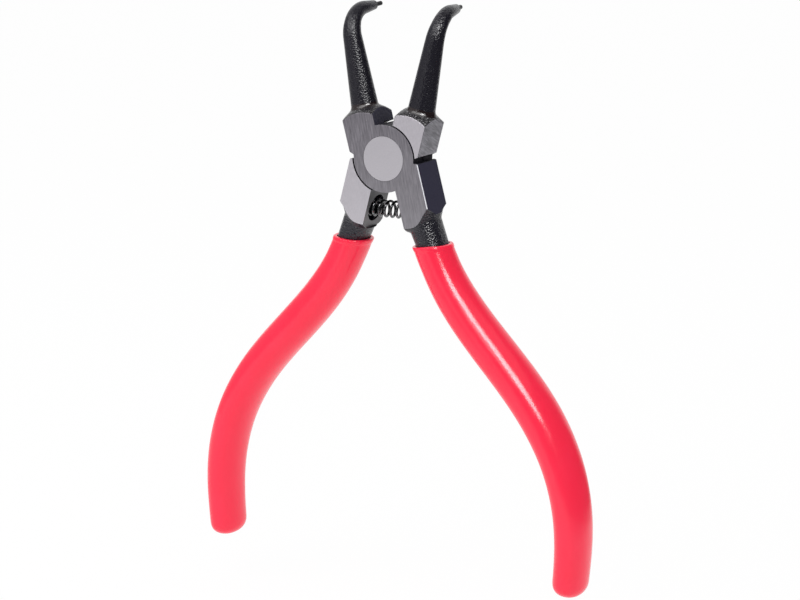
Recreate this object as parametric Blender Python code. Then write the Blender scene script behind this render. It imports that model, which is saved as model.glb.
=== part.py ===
"""Small pliers for internal circlips, with jaws bent through a right angle.

Two forged halves cross at a lap joint and turn on a rivet. A coil spring in blind holes opens them, dipped
sleeves cover the handles, and a steel pin in the end of each jaw goes into a circlip's eyes.

Each half is modelled as it stands when the pliers are closed, with the rivet's centre as its origin, and its
empty turns it into the open pose. The origin of the part is the centre of the rivet's front face: X is across,
Y is front to back, and Z runs up towards the jaws.
"""

import bisect
import math

import bmesh
import bpy
import numpy as np
from mathutils import Matrix, Vector

# Head and lap joint
HEAD_THICKNESS = 0.0090
LAP_GAP = 0.0001
JOINT_DISC_RADIUS = 0.0076
JOINT_SEAT_GAP = 0.0003
CLOSING_TURN_DEG = 30.0
JAW_MEETING_GAP = 0.0003

# Shoulder that carries the jaw, in the closed pose
JAW_SHOULDER_REACH = 0.0081
JAW_SHOULDER_FOOT = 0.0031
JAW_UNDERCUT_DEG = 40.0

# Shoulder that carries the handle, in the closed pose
HANDLE_SHOULDER_REACH = 0.0081
HANDLE_SHOULDER_TOP = -0.0028
HANDLE_TOP_SLOPE_DEG = 24.0
HANDLE_FACE_GAP = 0.0022

# Jaw: a tapered round bar that leaves the shoulder through a cone and bends towards the back
JAW_AXIS_REACH = 0.0042
JAW_ROOT_HEIGHT = 0.0121
JAW_CONE_SLOPE_DEG = 33.0
JAW_LEAN_DEG = 3.4
JAW_STRAIGHT_LENGTH = 0.0155
JAW_BEND_RADIUS = 0.0063
JAW_END_LENGTH = 0.0040
JAW_TIP_INWARD_DEG = 7.0
JAW_TIP_UPWARD_DEG = 2.9
JAW_ROOT_FILLET = 0.0015
JAW_ROOT_RADIUS = 0.00305
JAW_BEND_START_RADIUS = 0.00215
JAW_BEND_END_RADIUS = 0.0015
JAW_END_RADIUS = 0.0011

# Tip pin
PIN_RADIUS = 0.0005
PIN_REACH = 0.0027
PIN_SEAT_DEPTH = 0.0033
PIN_CHAMFER = 0.0001
PIN_FIT_GAP = 0.00006

# Rivet with countersunk heads, ground flush
RIVET_HEAD_RADIUS = 0.0050
RIVET_SHANK_RADIUS = 0.0031
RIVET_RIM_HEIGHT = 0.0004
RIVET_HEAD_HEIGHT = 0.0023
RIVET_GAP = 0.00006

# Opening spring and the blind holes that hold its ends
SPRING_DROP = 0.0127
SPRING_HOLE_RADIUS = 0.0031
SPRING_HOLE_DEPTH = 0.0026
SPRING_COIL_RADIUS = 0.00175
SPRING_WIRE_RADIUS = 0.0003
SPRING_TURNS = 9
SPRING_END_GAP = 0.00015

# Centre line of the handle in the closed pose, as (X, Z) from the rivet
HANDLE_LINE = (
    (0.0042, -0.0010),
    (0.0042, -0.0120),
    (0.0046, -0.0190),
    (0.0069, -0.0310),
    (0.0131, -0.0450),
    (0.0204, -0.0594),
    (0.0242, -0.0728),
    (0.0239, -0.0871),
    (0.0189, -0.1036),
)

# Forged handle from the shoulder down to the neck, before its faces are ground flat:
# (Z, shift from the centre line towards the other handle, half width, half depth)
NECK_SECTIONS = (
    (-0.0010, 0.0015, 0.0095, 0.0090),
    (-0.0110, 0.0015, 0.0085, 0.0085),
    (-0.0130, 0.0016, 0.0064, 0.0074),
    (-0.0140, 0.0016, 0.0057, 0.0058),
    (-0.0150, 0.0017, 0.0054, 0.0052),
    (-0.0159, 0.0017, 0.0050, 0.0047),
    (-0.0165, 0.0008, 0.0042, 0.0043),
    (-0.0173, 0.0000, 0.0033, 0.0041),
)
NECK_LENGTH = 0.0036
TANG_HALF_WIDTH = 0.0031
TANG_HALF_DEPTH = 0.0040
TANG_TAPER_LENGTH = 0.0060

# Dipped sleeve over the tang, with its walls at places evenly spaced from its mouth to its end
GRIP_MOUTH_SLOPE_DEG = 9.0
GRIP_SIDE_WALLS = (0.0007, 0.0012, 0.0011, 0.0008, 0.0004)
GRIP_FACE_WALLS = (0.0006, 0.0014, 0.0020, 0.0016, 0.0010)
GRIP_END_WALL = 0.0025
GRIP_DOME_LENGTH = 0.0036
GRIP_LEVELLING_LENGTH = 0.0120
GRIP_RIM_LENGTH = 0.0007
GRIP_RIM_SWELL = 0.00012
GRIP_FIT_GAP = 0.00015

# Rounded section of handles and sleeves: 2 is an ellipse, more is squarer
SECTION_POWER = 2.4

# Facets around each kind of round shape
DISC_FACETS = 64
RIVET_FACETS = 48
CONE_FACETS = 40
JAW_FACETS = 20
HANDLE_FACETS = 24
PIN_FACETS = 16
WIRE_FACETS = 6
COIL_STEPS = 12
JAW_BEND_STEPS = 8
FILLET_STEPS = 4
GRIP_STEPS = 15

HALF_TURN = math.radians(CLOSING_TURN_DEG) / 2
MID_DEPTH = HEAD_THICKNESS / 2
SMOOTH_ANGLE = math.radians(35)
OVERCUT = 0.0020


def clear_scene():
    """Remove whatever the scene holds."""
    for thing in list(bpy.data.objects):
        bpy.data.objects.remove(thing, do_unlink=True)


def make_material(name, color, roughness, metallic):
    """Principled material with one colour."""
    material = bpy.data.materials.new(name)
    material.use_nodes = True
    shader = material.node_tree.nodes["Principled BSDF"]
    shader.inputs["Base Color"].default_value = (*color, 1.0)
    shader.inputs["Roughness"].default_value = roughness
    shader.inputs["Metallic"].default_value = metallic
    return material


def add_object(name, bm, parent=None, material=None):
    """Object from a finished bmesh, shaded smooth but for its sharp edges."""
    bmesh.ops.recalc_face_normals(bm, faces=bm.faces)
    mesh = bpy.data.meshes.new(name)
    bm.to_mesh(mesh)
    bm.free()
    mesh.shade_smooth()
    mesh.set_sharp_from_angle(angle=SMOOTH_ANGLE)
    if material:
        mesh.materials.append(material)
    thing = bpy.data.objects.new(name, mesh)
    bpy.context.scene.collection.objects.link(thing)
    thing.parent = parent
    return thing


def loft(name, rings, parent=None, material=None):
    """Closed body through rings of points, capped at both ends."""
    bm = bmesh.new()
    rows = [[bm.verts.new(point) for point in ring] for ring in rings]
    for low, high in zip(rows, rows[1:]):
        for i in range(len(low)):
            j = (i + 1) % len(low)
            bm.faces.new((low[i], low[j], high[j], high[i]))
    bm.faces.new(rows[0])
    bm.faces.new(rows[-1])
    return add_object(name, bm, parent, material)


def prism(name, outline, near, far, parent=None):
    """Outline in X and Z, extruded along Y from near to far."""
    return loft(name, [[Vector((x, y, z)) for x, z in outline] for y in (near, far)], parent)


def turned(name, profile, facets, centre=(0, 0, 0), axis="Y", parent=None, material=None):
    """Solid of revolution through (radius, place along the axis)."""
    turn = {"X": Matrix.Rotation(math.pi / 2, 3, "Y"), "Y": Matrix.Rotation(-math.pi / 2, 3, "X")}
    frame = turn.get(axis, Matrix.Identity(3))
    rings = []
    for radius, place in profile:
        ring = []
        for i in range(facets):
            angle = 2 * math.pi * i / facets
            flat = Vector((radius * math.cos(angle), radius * math.sin(angle), place))
            ring.append(Vector(centre) + frame @ flat)
        rings.append(ring)
    return loft(name, rings, parent, material)


def combine(target, tool, operation):
    """Boolean of a target with a tool, which becomes a hidden guide."""
    tool.hide_render = True
    tool.display_type = "WIRE"
    modifier = target.modifiers.new(tool.name, "BOOLEAN")
    modifier.operation = operation
    modifier.solver = "EXACT"
    modifier.object = tool


def cross_section(centre, across, through, half_width, half_depth, facets, power=2.0):
    """Ring round a centre, an ellipse or a squarer oval."""
    ring = []
    for i in range(facets):
        angle = 2 * math.pi * i / facets
        cos, sin = math.cos(angle), math.sin(angle)
        wide = math.copysign(abs(cos) ** (2 / power), cos) * half_width
        deep = math.copysign(abs(sin) ** (2 / power), sin) * half_depth
        ring.append(centre + across * wide + through * deep)
    return ring


class Curve:
    """Smooth plane curve through (X, Z) points, read by the distance along it."""

    SAMPLES_PER_SPAN = 40

    def __init__(self, points):
        knots = np.array(points)
        chords = np.hypot(*np.diff(knots, axis=0).T)
        at = np.concatenate([[0.0], np.cumsum(chords)])
        fine = np.linspace(0.0, at[-1], self.SAMPLES_PER_SPAN * len(points))
        self.samples = self.natural_spline(at, knots, fine)
        steps = np.hypot(*np.diff(self.samples, axis=0).T)
        self.distances = np.concatenate([[0.0], np.cumsum(steps)])
        self.length = float(self.distances[-1])

    @staticmethod
    def natural_spline(at, knots, fine):
        """Natural cubic spline through the knots, read at the fine places."""
        count = len(at)
        gap = np.diff(at)
        system = np.eye(count)
        right = np.zeros_like(knots)
        for i in range(1, count - 1):
            system[i, i - 1] = gap[i - 1]
            system[i, i] = 2 * (gap[i - 1] + gap[i])
            system[i, i + 1] = gap[i]
            right[i] = 6 * ((knots[i + 1] - knots[i]) / gap[i] - (knots[i] - knots[i - 1]) / gap[i - 1])
        bend = np.linalg.solve(system, right)
        rows = []
        for place in fine:
            i = min(max(bisect.bisect_right(at.tolist(), place) - 1, 0), count - 2)
            after, before = place - at[i], at[i + 1] - place
            cubic = (bend[i] * before**3 + bend[i + 1] * after**3) / (6 * gap[i])
            start = (knots[i] / gap[i] - bend[i] * gap[i] / 6) * before
            end = (knots[i + 1] / gap[i] - bend[i + 1] * gap[i] / 6) * after
            rows.append(cubic + start + end)
        return np.array(rows)

    def point(self, distance):
        """Point at a distance, as X, 0 and Z."""
        x, z = (float(np.interp(distance, self.distances, self.samples[:, k])) for k in (0, 1))
        return Vector((x, 0.0, z))

    def across(self, distance):
        """Unit vector square to the curve in its plane, pointing outwards."""
        step = self.length / 200
        along = self.point(min(distance + step, self.length)) - self.point(max(distance - step, 0.0))
        return Vector((-along.z, 0.0, along.x)).normalized()

    def distance_at_height(self, height):
        """Distance along a falling curve at which it passes a height."""
        return float(np.interp(-height, -self.samples[:, 1], self.distances))


def spaced(first, last, count):
    """Evenly spaced numbers with both ends."""
    return [first + (last - first) * i / (count - 1) for i in range(count)]


def read_table(place, places, values):
    """Value at a place, straight between the given ones."""
    return float(np.interp(place, places, values))


HANDLE = Curve(HANDLE_LINE)
MOUTH = HANDLE.distance_at_height(NECK_SECTIONS[-1][0]) + NECK_LENGTH
DEPTHWARDS = Vector((0.0, 1.0, 0.0))


def tang_size(distance):
    """Inward shift, half width and half depth of the forged handle at a distance along it."""
    places = [HANDLE.distance_at_height(section[0]) for section in NECK_SECTIONS]
    places.append(MOUTH + TANG_TAPER_LENGTH)
    rows = [section[1:] for section in NECK_SECTIONS] + [(0.0, TANG_HALF_WIDTH, TANG_HALF_DEPTH)]
    return [read_table(distance, places, column) for column in zip(*rows)]


def dome_share(distance, end, length):
    """Share of its width that a rounded end still has, from 1 down to 0 at the end."""
    into = max(0.0, (distance - (end - length)) / length)
    return max(0.0, 1 - into**SECTION_POWER) ** (1 / SECTION_POWER)


def sleeve_places():
    """Distances of the rings that the tang and its sleeve share, from the mouth to the start of the tang's end."""
    return spaced(MOUTH, HANDLE.length - GRIP_END_WALL - GRIP_DOME_LENGTH, GRIP_STEPS)


def dome_places(end, length):
    """Distances of the rings on a rounded end, closer together towards its tip."""
    return [end - length * (1 - math.sin(angle)) for angle in (0.35, 0.7, 1.0, 1.25, 1.45)]


def handle_ring(distance, half_width, half_depth, dipped=0.0, inset=0.0):
    """Ring round the handle's centre line, turned by a share from square towards the line of the sleeve's mouth."""
    square = HANDLE.across(distance)
    slope = math.radians(GRIP_MOUTH_SLOPE_DEG)
    mouth_line = Vector((math.cos(slope), 0.0, -math.sin(slope)))
    across = square.lerp(mouth_line, dipped).normalized()
    stretch = 1 / across.dot(square)
    centre = HANDLE.point(distance) - square * inset
    return cross_section(centre, across, DEPTHWARDS, half_width * stretch, half_depth, HANDLE_FACETS, SECTION_POWER)


def tang_rings():
    """Rings of the forged handle from inside the joint to its rounded end."""
    places = [HANDLE.distance_at_height(section[0]) for section in NECK_SECTIONS]
    end = HANDLE.length - GRIP_END_WALL
    rings = []
    for distance in places + sleeve_places() + dome_places(end, GRIP_DOME_LENGTH):
        share = dome_share(distance, end, GRIP_DOME_LENGTH)
        inset, width, depth = tang_size(distance)
        rings.append(handle_ring(distance, width * share, depth * share, dipped_share(distance), inset))
    return rings


def bore_rings():
    """Rings of the sleeve's bore, which follows the tang with a gap."""
    end = HANDLE.length - GRIP_END_WALL + GRIP_FIT_GAP
    rings = []
    for distance in sleeve_places() + dome_places(end, GRIP_DOME_LENGTH):
        share = dome_share(distance, end, GRIP_DOME_LENGTH)
        _, width, depth = tang_size(distance)
        width, depth = width * share + GRIP_FIT_GAP, depth * share + GRIP_FIT_GAP
        rings.append(handle_ring(distance, width, depth, dipped_share(distance)))
    return rings


def dipped_share(distance):
    """Share by which a ring follows the line of the sleeve's mouth: 1 at the mouth, 0 further down."""
    away = (distance - MOUTH) / GRIP_LEVELLING_LENGTH
    return max(0.0, 1 - away) if away >= 0 else 0.0


def sleeve_size(distance):
    """Outer half width and half depth of the sleeve at a distance along the handle."""
    places = spaced(MOUTH, HANDLE.length, len(GRIP_SIDE_WALLS))
    _, width, depth = tang_size(distance)
    side = GRIP_FIT_GAP + read_table(distance, places, GRIP_SIDE_WALLS)
    face = GRIP_FIT_GAP + read_table(distance, places, GRIP_FACE_WALLS)
    return width + side, depth + face


def sleeve_outer_rings():
    """Outer rings of the sleeve: its rolled rim, its length and its rounded end."""
    rings = []
    rim = ((0.0, -2.0), (0.25, 0.6), (1.0, 1.0), (2.0, 0.0))
    for along, swell in rim:
        distance = MOUTH + along * GRIP_RIM_LENGTH
        width, depth = sleeve_size(distance)
        swell *= GRIP_RIM_SWELL
        rings.append(handle_ring(distance, width + swell, depth + swell, dipped_share(distance)))
    end = HANDLE.length
    for distance in sleeve_places()[1:] + dome_places(end, GRIP_DOME_LENGTH):
        share = dome_share(distance, end, GRIP_DOME_LENGTH)
        width, depth = sleeve_size(distance)
        rings.append(handle_ring(distance, width * share, depth * share, dipped_share(distance)))
    return rings


def jaw_directions(bend):
    """Direction of the jaw before its bend and after it; bend is 1 towards the back and -1 towards the front."""
    lean, inward, upward = (math.radians(a) for a in (JAW_LEAN_DEG, JAW_TIP_INWARD_DEG, JAW_TIP_UPWARD_DEG))
    rising = Vector((math.sin(lean), 0.0, math.cos(lean)))
    level = Vector((math.sin(inward), bend * math.cos(inward), 0.0))
    tip = level * math.cos(upward) + Vector((0.0, 0.0, math.sin(upward)))
    return rising, tip


def root_fillet():
    """Height above the jaw's root and added radius of each ring of the fillet between the cone and the jaw."""
    slope = math.radians(JAW_CONE_SLOPE_DEG)
    tangent = JAW_ROOT_FILLET * math.tan((math.pi / 2 - slope) / 2)
    rings = []
    for i in range(FILLET_STEPS + 1):
        angle = slope + (math.pi / 2 - slope) * i / FILLET_STEPS
        height = tangent - JAW_ROOT_FILLET * math.cos(angle)
        rings.append((height, JAW_ROOT_FILLET * (1 - math.sin(angle))))
    return rings


def jaw_stations(bend):
    """Centre, direction and radius of each ring of the jaw, from inside the shoulder to the jaw's end."""
    rising, tip = jaw_directions(bend)
    root = Vector((-JAW_AXIS_REACH, 0.0, JAW_ROOT_HEIGHT))
    bend_start = root + rising * JAW_STRAIGHT_LENGTH
    turn = rising.angle(tip)
    aside = (tip - rising * rising.dot(tip)).normalized()
    stations = [(root - rising * JAW_ROOT_RADIUS, rising, JAW_ROOT_RADIUS)]
    for i, (height, flare) in enumerate(root_fillet()):
        along = Vector((0.0, 0.0, 1.0)).lerp(rising, i / FILLET_STEPS).normalized()
        stations.append((root + along * height, along, JAW_ROOT_RADIUS + flare))
    stations.append((bend_start, rising, JAW_BEND_START_RADIUS))
    for i in range(1, JAW_BEND_STEPS + 1):
        share = i / JAW_BEND_STEPS
        angle = turn * share
        off = rising * math.sin(angle) + aside * (1 - math.cos(angle))
        along = rising * math.cos(angle) + aside * math.sin(angle)
        radius = JAW_BEND_START_RADIUS + (JAW_BEND_END_RADIUS - JAW_BEND_START_RADIUS) * share
        stations.append((bend_start + off * JAW_BEND_RADIUS, along, radius))
    stations.append((stations[-1][0] + tip * JAW_END_LENGTH, tip, JAW_END_RADIUS))
    return stations


def round_ring(centre, along, radius, facets):
    """Circle round a centre, square to a direction."""
    side = Vector((1.0, 0.0, 0.0))
    through = along.cross(side).normalized()
    return cross_section(centre, through.cross(along), through, radius, radius, facets)


def straight_bar(name, centre, along, places, facets, parent, material=None):
    """Round bar along a direction through (distance, radius)."""
    rings = [round_ring(centre + along * distance, along, radius, facets) for distance, radius in places]
    return loft(name, rings, parent, material)


def rivet_profile(gap, overrun):
    """Half of the rivet's outline as (radius, place), or of its bore with a gap and an overrun past the faces."""
    face = HEAD_THICKNESS / 2
    rim = face - RIVET_RIM_HEIGHT
    neck = face - RIVET_HEAD_HEIGHT
    half = ((RIVET_HEAD_RADIUS, face + overrun), (RIVET_HEAD_RADIUS, rim), (RIVET_SHANK_RADIUS, neck))
    front = [(radius + gap, -place) for radius, place in half]
    back = [(radius + gap, place) for radius, place in reversed(half)]
    return front + back


def jaw_shoulder(label, arm):
    """Block that carries the jaw, cut by the cone that the jaw leaves it through."""
    face = HEAD_THICKNESS / 2
    top = JAW_ROOT_HEIGHT + OVERCUT
    inner = -JAW_MEETING_GAP / 2
    fall = math.tan(math.radians(JAW_UNDERCUT_DEG))
    inside = JOINT_DISC_RADIUS / 2
    foot = JAW_SHOULDER_FOOT - (JAW_SHOULDER_REACH - inside) * fall
    outline = (
        (inner, 0.0),
        (inner, top),
        (-JAW_SHOULDER_REACH, top),
        (-JAW_SHOULDER_REACH, JAW_SHOULDER_FOOT),
        (-inside, foot),
    )
    block = prism(f"{label}_jaw_shoulder", outline, -face - OVERCUT, face + OVERCUT, arm)
    slope = math.tan(math.radians(JAW_CONE_SLOPE_DEG))
    foot_radius = JAW_SHOULDER_REACH + face + OVERCUT
    tip_radius = JAW_ROOT_RADIUS * 0.75
    cone = (
        (foot_radius, -foot_radius),
        (foot_radius, JAW_ROOT_HEIGHT - (foot_radius - JAW_ROOT_RADIUS) * slope),
        (tip_radius, JAW_ROOT_HEIGHT + (JAW_ROOT_RADIUS - tip_radius) * slope),
    )
    centre = (-JAW_AXIS_REACH, 0.0, 0.0)
    combine(block, turned(f"{label}_jaw_cone", cone, CONE_FACETS, centre, "Z", arm), "INTERSECT")
    return block


def forged_handle(label, arm):
    """Handle from the shoulder to the end of its tang, with its shoulder ground flat at the sides and the top."""
    handle = loft(f"{label}_handle", tang_rings(), arm)
    past = HEAD_THICKNESS / 2 + OVERCUT
    inner = HANDLE_FACE_GAP / 2
    neck_end = NECK_SECTIONS[-1][0]
    low = HANDLE_LINE[-1][1] - OVERCUT
    wide = JAW_SHOULDER_REACH - low
    rise = math.tan(math.radians(HANDLE_TOP_SLOPE_DEG))
    inside = JOINT_DISC_RADIUS / 2
    window = (
        (inside, HANDLE_SHOULDER_TOP + (HANDLE_SHOULDER_REACH - inside) * rise),
        (HANDLE_SHOULDER_REACH, HANDLE_SHOULDER_TOP),
        (HANDLE_SHOULDER_REACH, neck_end),
        (wide, neck_end),
        (wide, low),
        (-wide, low),
        (-wide, neck_end),
        (inner, neck_end),
        (inner, -JOINT_DISC_RADIUS / 2),
    )
    combine(handle, prism(f"{label}_handle_window", window, -past, past, arm), "INTERSECT")
    hole = ((SPRING_HOLE_RADIUS, -inner), (SPRING_HOLE_RADIUS, inner + SPRING_HOLE_DEPTH))
    drop = (0.0, 0.0, -SPRING_DROP)
    combine(handle, turned(f"{label}_spring_hole", hole, RIVET_FACETS, drop, "X", arm), "DIFFERENCE")
    return handle


def forged_half(label, arm, bend, material):
    """One half of the pliers: joint plate, two shoulders, bent jaw and handle."""
    face = HEAD_THICKNESS / 2
    past = face + OVERCUT
    plate = ((JOINT_DISC_RADIUS, -past), (JOINT_DISC_RADIUS, past))
    half = turned(f"{label}_half", plate, DISC_FACETS, axis="Y", parent=arm, material=material)
    combine(half, jaw_shoulder(label, arm), "UNION")
    combine(half, forged_handle(label, arm), "UNION")
    wide = HANDLE.length + JAW_ROOT_HEIGHT
    square = ((-wide, -wide), (wide, -wide), (wide, wide), (-wide, wide))
    combine(half, prism(f"{label}_ground_faces", square, -face, face, arm), "INTERSECT")
    stations = jaw_stations(bend)
    rings = [round_ring(centre, along, radius, JAW_FACETS) for centre, along, radius in stations]
    combine(half, loft(f"{label}_jaw", rings, arm), "UNION")

    lap = LAP_GAP / 2
    seat = JOINT_DISC_RADIUS + JOINT_SEAT_GAP
    other_disc = ((seat, -lap), (seat, past))
    combine(half, turned(f"{label}_lap_cut", other_disc, DISC_FACETS, axis="Y", parent=arm), "DIFFERENCE")
    bore = rivet_profile(RIVET_GAP, OVERCUT)
    combine(half, turned(f"{label}_rivet_bore", bore, RIVET_FACETS, axis="Y", parent=arm), "DIFFERENCE")
    end, tip, _ = stations[-1]
    radius = PIN_RADIUS + PIN_FIT_GAP
    socket = ((-PIN_SEAT_DEPTH - PIN_FIT_GAP, radius), (PIN_REACH, radius))
    combine(half, straight_bar(f"{label}_pin_bore", end, tip, socket, PIN_FACETS, arm), "DIFFERENCE")
    return half


def tip_pin(label, arm, bend, material):
    """Pin pressed into the jaw's end, with a small chamfer on its free end."""
    end, tip, _ = jaw_stations(bend)[-1]
    places = (
        (-PIN_SEAT_DEPTH, PIN_RADIUS),
        (PIN_REACH - PIN_CHAMFER, PIN_RADIUS),
        (PIN_REACH, PIN_RADIUS - PIN_CHAMFER),
    )
    return straight_bar(f"{label}_tip_pin", end, tip, places, PIN_FACETS, arm, material)


def dipped_grip(label, arm, material):
    """Sleeve round the tang, open at its mouth and closed at its end."""
    return loft(f"{label}_grip", bore_rings()[::-1] + sleeve_outer_rings(), arm, material)


def make_rivet(parent, material):
    """Rivet through both plates."""
    return turned("pivot_rivet", rivet_profile(0.0, 0.0), RIVET_FACETS, axis="Y", parent=parent, material=material)


def spring_seat():
    """Height of the spring's axis and half its length along X, in the open pose.

    The axis passes the middle of each hole's mouth. The holes slope, so the top of the end turn meets the bottom
    of its hole first.
    """
    sin, cos = math.sin(HALF_TURN), math.cos(HALF_TURN)
    mouth = HANDLE_FACE_GAP / 2
    bottom = mouth + SPRING_HOLE_DEPTH
    axis_height = mouth * sin - SPRING_DROP * cos
    bottom_x = bottom * cos + SPRING_DROP * sin
    bottom_z = bottom * sin - SPRING_DROP * cos
    coil_top = axis_height + SPRING_COIL_RADIUS + SPRING_WIRE_RADIUS
    reach = bottom_x - (coil_top - bottom_z) * math.tan(HALF_TURN)
    return axis_height, reach - SPRING_WIRE_RADIUS - SPRING_END_GAP


def coil_point(turn, axis_height, half_length):
    """Centre of the wire after a number of turns; the first and last turns are closed."""
    closed_pitch = 2 * SPRING_WIRE_RADIUS * 1.05
    open_pitch = 2 * (half_length - closed_pitch) / (SPRING_TURNS - 2)
    closed = min(turn, 1.0) + max(0.0, turn - (SPRING_TURNS - 1))
    opened = min(max(turn - 1.0, 0.0), SPRING_TURNS - 2.0)
    angle = 2 * math.pi * turn
    return Vector((
        closed * closed_pitch + opened * open_pitch - half_length,
        SPRING_COIL_RADIUS * math.sin(angle),
        SPRING_COIL_RADIUS * math.cos(angle) + axis_height,
    ))


def make_spring(parent, material):
    """Coil spring between the bottoms of the two blind holes."""
    axis_height, half_length = spring_seat()
    count = SPRING_TURNS * COIL_STEPS
    points = [coil_point(i / COIL_STEPS, axis_height, half_length) for i in range(count + 1)]
    rings = []
    for i, point in enumerate(points):
        along = (points[min(i + 1, count)] - points[max(i - 1, 0)]).normalized()
        rings.append(wire_ring(point, along))
    return loft("opening_spring", rings, parent, material)


def wire_ring(centre, along):
    """Ring of the spring's wire, with its first corner towards the coil's end."""
    endways = Vector((1.0, 0.0, 0.0))
    aside = along.cross(endways).normalized()
    return cross_section(centre, aside.cross(along), aside, SPRING_WIRE_RADIUS, SPRING_WIRE_RADIUS, WIRE_FACETS)


def add_empty(name, turn_about_z):
    """Empty on the rivet's axis that turns a half from its closed pose to its open one."""
    empty = bpy.data.objects.new(name, None)
    bpy.context.scene.collection.objects.link(empty)
    empty.location = (0.0, MID_DEPTH, 0.0)
    empty.rotation_euler = (0.0, -HALF_TURN, turn_about_z)
    return empty


def main():
    """Build the pliers."""
    clear_scene()
    steel = make_material("forged_steel", (0.20, 0.20, 0.21), 0.45, 0.9)
    bright = make_material("ground_rivet", (0.62, 0.61, 0.63), 0.35, 1.0)
    wire = make_material("spring_wire", (0.05, 0.05, 0.055), 0.3, 1.0)
    tip = make_material("pin_steel", (0.10, 0.10, 0.11), 0.4, 0.9)
    vinyl = make_material("red_vinyl", (0.95, 0.04, 0.08), 0.25, 0.0)

    for label, bend, turn in (("front", 1, 0.0), ("back", -1, math.pi)):
        arm = add_empty(f"{label}_arm", turn)
        forged_half(label, arm, bend, steel)
        tip_pin(label, arm, bend, tip)
        dipped_grip(label, arm, vinyl)

    pivot = bpy.data.objects.new("pivot", None)
    bpy.context.scene.collection.objects.link(pivot)
    pivot.location = (0.0, MID_DEPTH, 0.0)
    make_rivet(pivot, bright)
    make_spring(pivot, wire)


main()
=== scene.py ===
"""Dressed scene of the small circlip pliers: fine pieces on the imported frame, studio light and camera."""

import bisect
import math

import bmesh
import bpy
import numpy as np
from mathutils import Matrix, Vector, noise


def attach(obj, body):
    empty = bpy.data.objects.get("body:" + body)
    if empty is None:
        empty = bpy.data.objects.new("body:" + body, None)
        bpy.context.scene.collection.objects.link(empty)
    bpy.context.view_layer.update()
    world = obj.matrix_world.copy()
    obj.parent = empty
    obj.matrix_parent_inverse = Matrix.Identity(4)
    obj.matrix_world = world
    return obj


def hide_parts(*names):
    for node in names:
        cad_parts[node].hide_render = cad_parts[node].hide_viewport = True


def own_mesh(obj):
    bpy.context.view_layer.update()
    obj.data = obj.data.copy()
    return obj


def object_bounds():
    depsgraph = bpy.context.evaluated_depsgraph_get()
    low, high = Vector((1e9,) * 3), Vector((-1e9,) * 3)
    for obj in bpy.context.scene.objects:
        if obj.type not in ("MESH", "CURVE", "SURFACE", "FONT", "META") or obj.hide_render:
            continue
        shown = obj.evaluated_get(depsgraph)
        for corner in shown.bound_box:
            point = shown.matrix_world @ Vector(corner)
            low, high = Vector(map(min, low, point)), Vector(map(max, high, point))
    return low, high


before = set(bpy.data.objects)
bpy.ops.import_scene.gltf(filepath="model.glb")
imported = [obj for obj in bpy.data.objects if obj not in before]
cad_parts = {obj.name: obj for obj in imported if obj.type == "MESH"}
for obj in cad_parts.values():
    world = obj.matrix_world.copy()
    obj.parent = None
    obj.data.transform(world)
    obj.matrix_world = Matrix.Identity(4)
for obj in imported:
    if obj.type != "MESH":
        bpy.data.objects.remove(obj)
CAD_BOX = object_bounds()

# Head and lap joint
HEAD_THICKNESS = 0.0090
LAP_GAP = 0.0001
JOINT_DISC_RADIUS = 0.0076
JOINT_SEAT_GAP = 0.0003
CLOSING_TURN_DEG = 30.0
JAW_MEETING_GAP = 0.0003

# Shoulder that carries the jaw, in the closed pose
JAW_SHOULDER_REACH = 0.0081
JAW_SHOULDER_FOOT = 0.0031
JAW_UNDERCUT_DEG = 40.0

# Shoulder that carries the handle, in the closed pose
HANDLE_SHOULDER_REACH = 0.0081
HANDLE_SHOULDER_TOP = -0.0028
HANDLE_TOP_SLOPE_DEG = 24.0
HANDLE_FACE_GAP = 0.0022

# Jaw: a tapered round bar that leaves the shoulder through a cone and bends towards the back
JAW_AXIS_REACH = 0.0042
JAW_ROOT_HEIGHT = 0.0121
JAW_CONE_SLOPE_DEG = 33.0
JAW_LEAN_DEG = 3.4
JAW_STRAIGHT_LENGTH = 0.0155
JAW_BEND_RADIUS = 0.0063
JAW_END_LENGTH = 0.0040
JAW_TIP_INWARD_DEG = 7.0
JAW_TIP_UPWARD_DEG = 2.9
JAW_ROOT_FILLET = 0.0015
JAW_ROOT_RADIUS = 0.00305
CONE_TIP_SHARE = 0.75
JAW_BEND_START_RADIUS = 0.00215
JAW_BEND_END_RADIUS = 0.0015
JAW_END_RADIUS = 0.0011

# Tip pin
PIN_RADIUS = 0.0005
PIN_REACH = 0.0027
PIN_SEAT_DEPTH = 0.0033
PIN_CHAMFER = 0.0001
PIN_FIT_GAP = 0.00006

# Rivet with countersunk heads, ground flush
RIVET_HEAD_RADIUS = 0.0050
RIVET_SHANK_RADIUS = 0.0031
RIVET_RIM_HEIGHT = 0.0004
RIVET_HEAD_HEIGHT = 0.0023
RIVET_GAP = 0.00006

# Opening spring and the blind holes that hold its ends
SPRING_DROP = 0.0127
SPRING_HOLE_RADIUS = 0.0031
SPRING_HOLE_DEPTH = 0.0026
SPRING_COIL_RADIUS = 0.00175
SPRING_WIRE_RADIUS = 0.0003
SPRING_TURNS = 9
SPRING_END_GAP = 0.00015
CLOSED_TURN_PITCH = 1.05

# Centre line of the handle in the closed pose, as (X, Z) from the rivet
HANDLE_LINE = (
    (0.0042, -0.0010),
    (0.0042, -0.0120),
    (0.0046, -0.0190),
    (0.0069, -0.0310),
    (0.0131, -0.0450),
    (0.0204, -0.0594),
    (0.0242, -0.0728),
    (0.0239, -0.0871),
    (0.0189, -0.1036),
)

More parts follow.
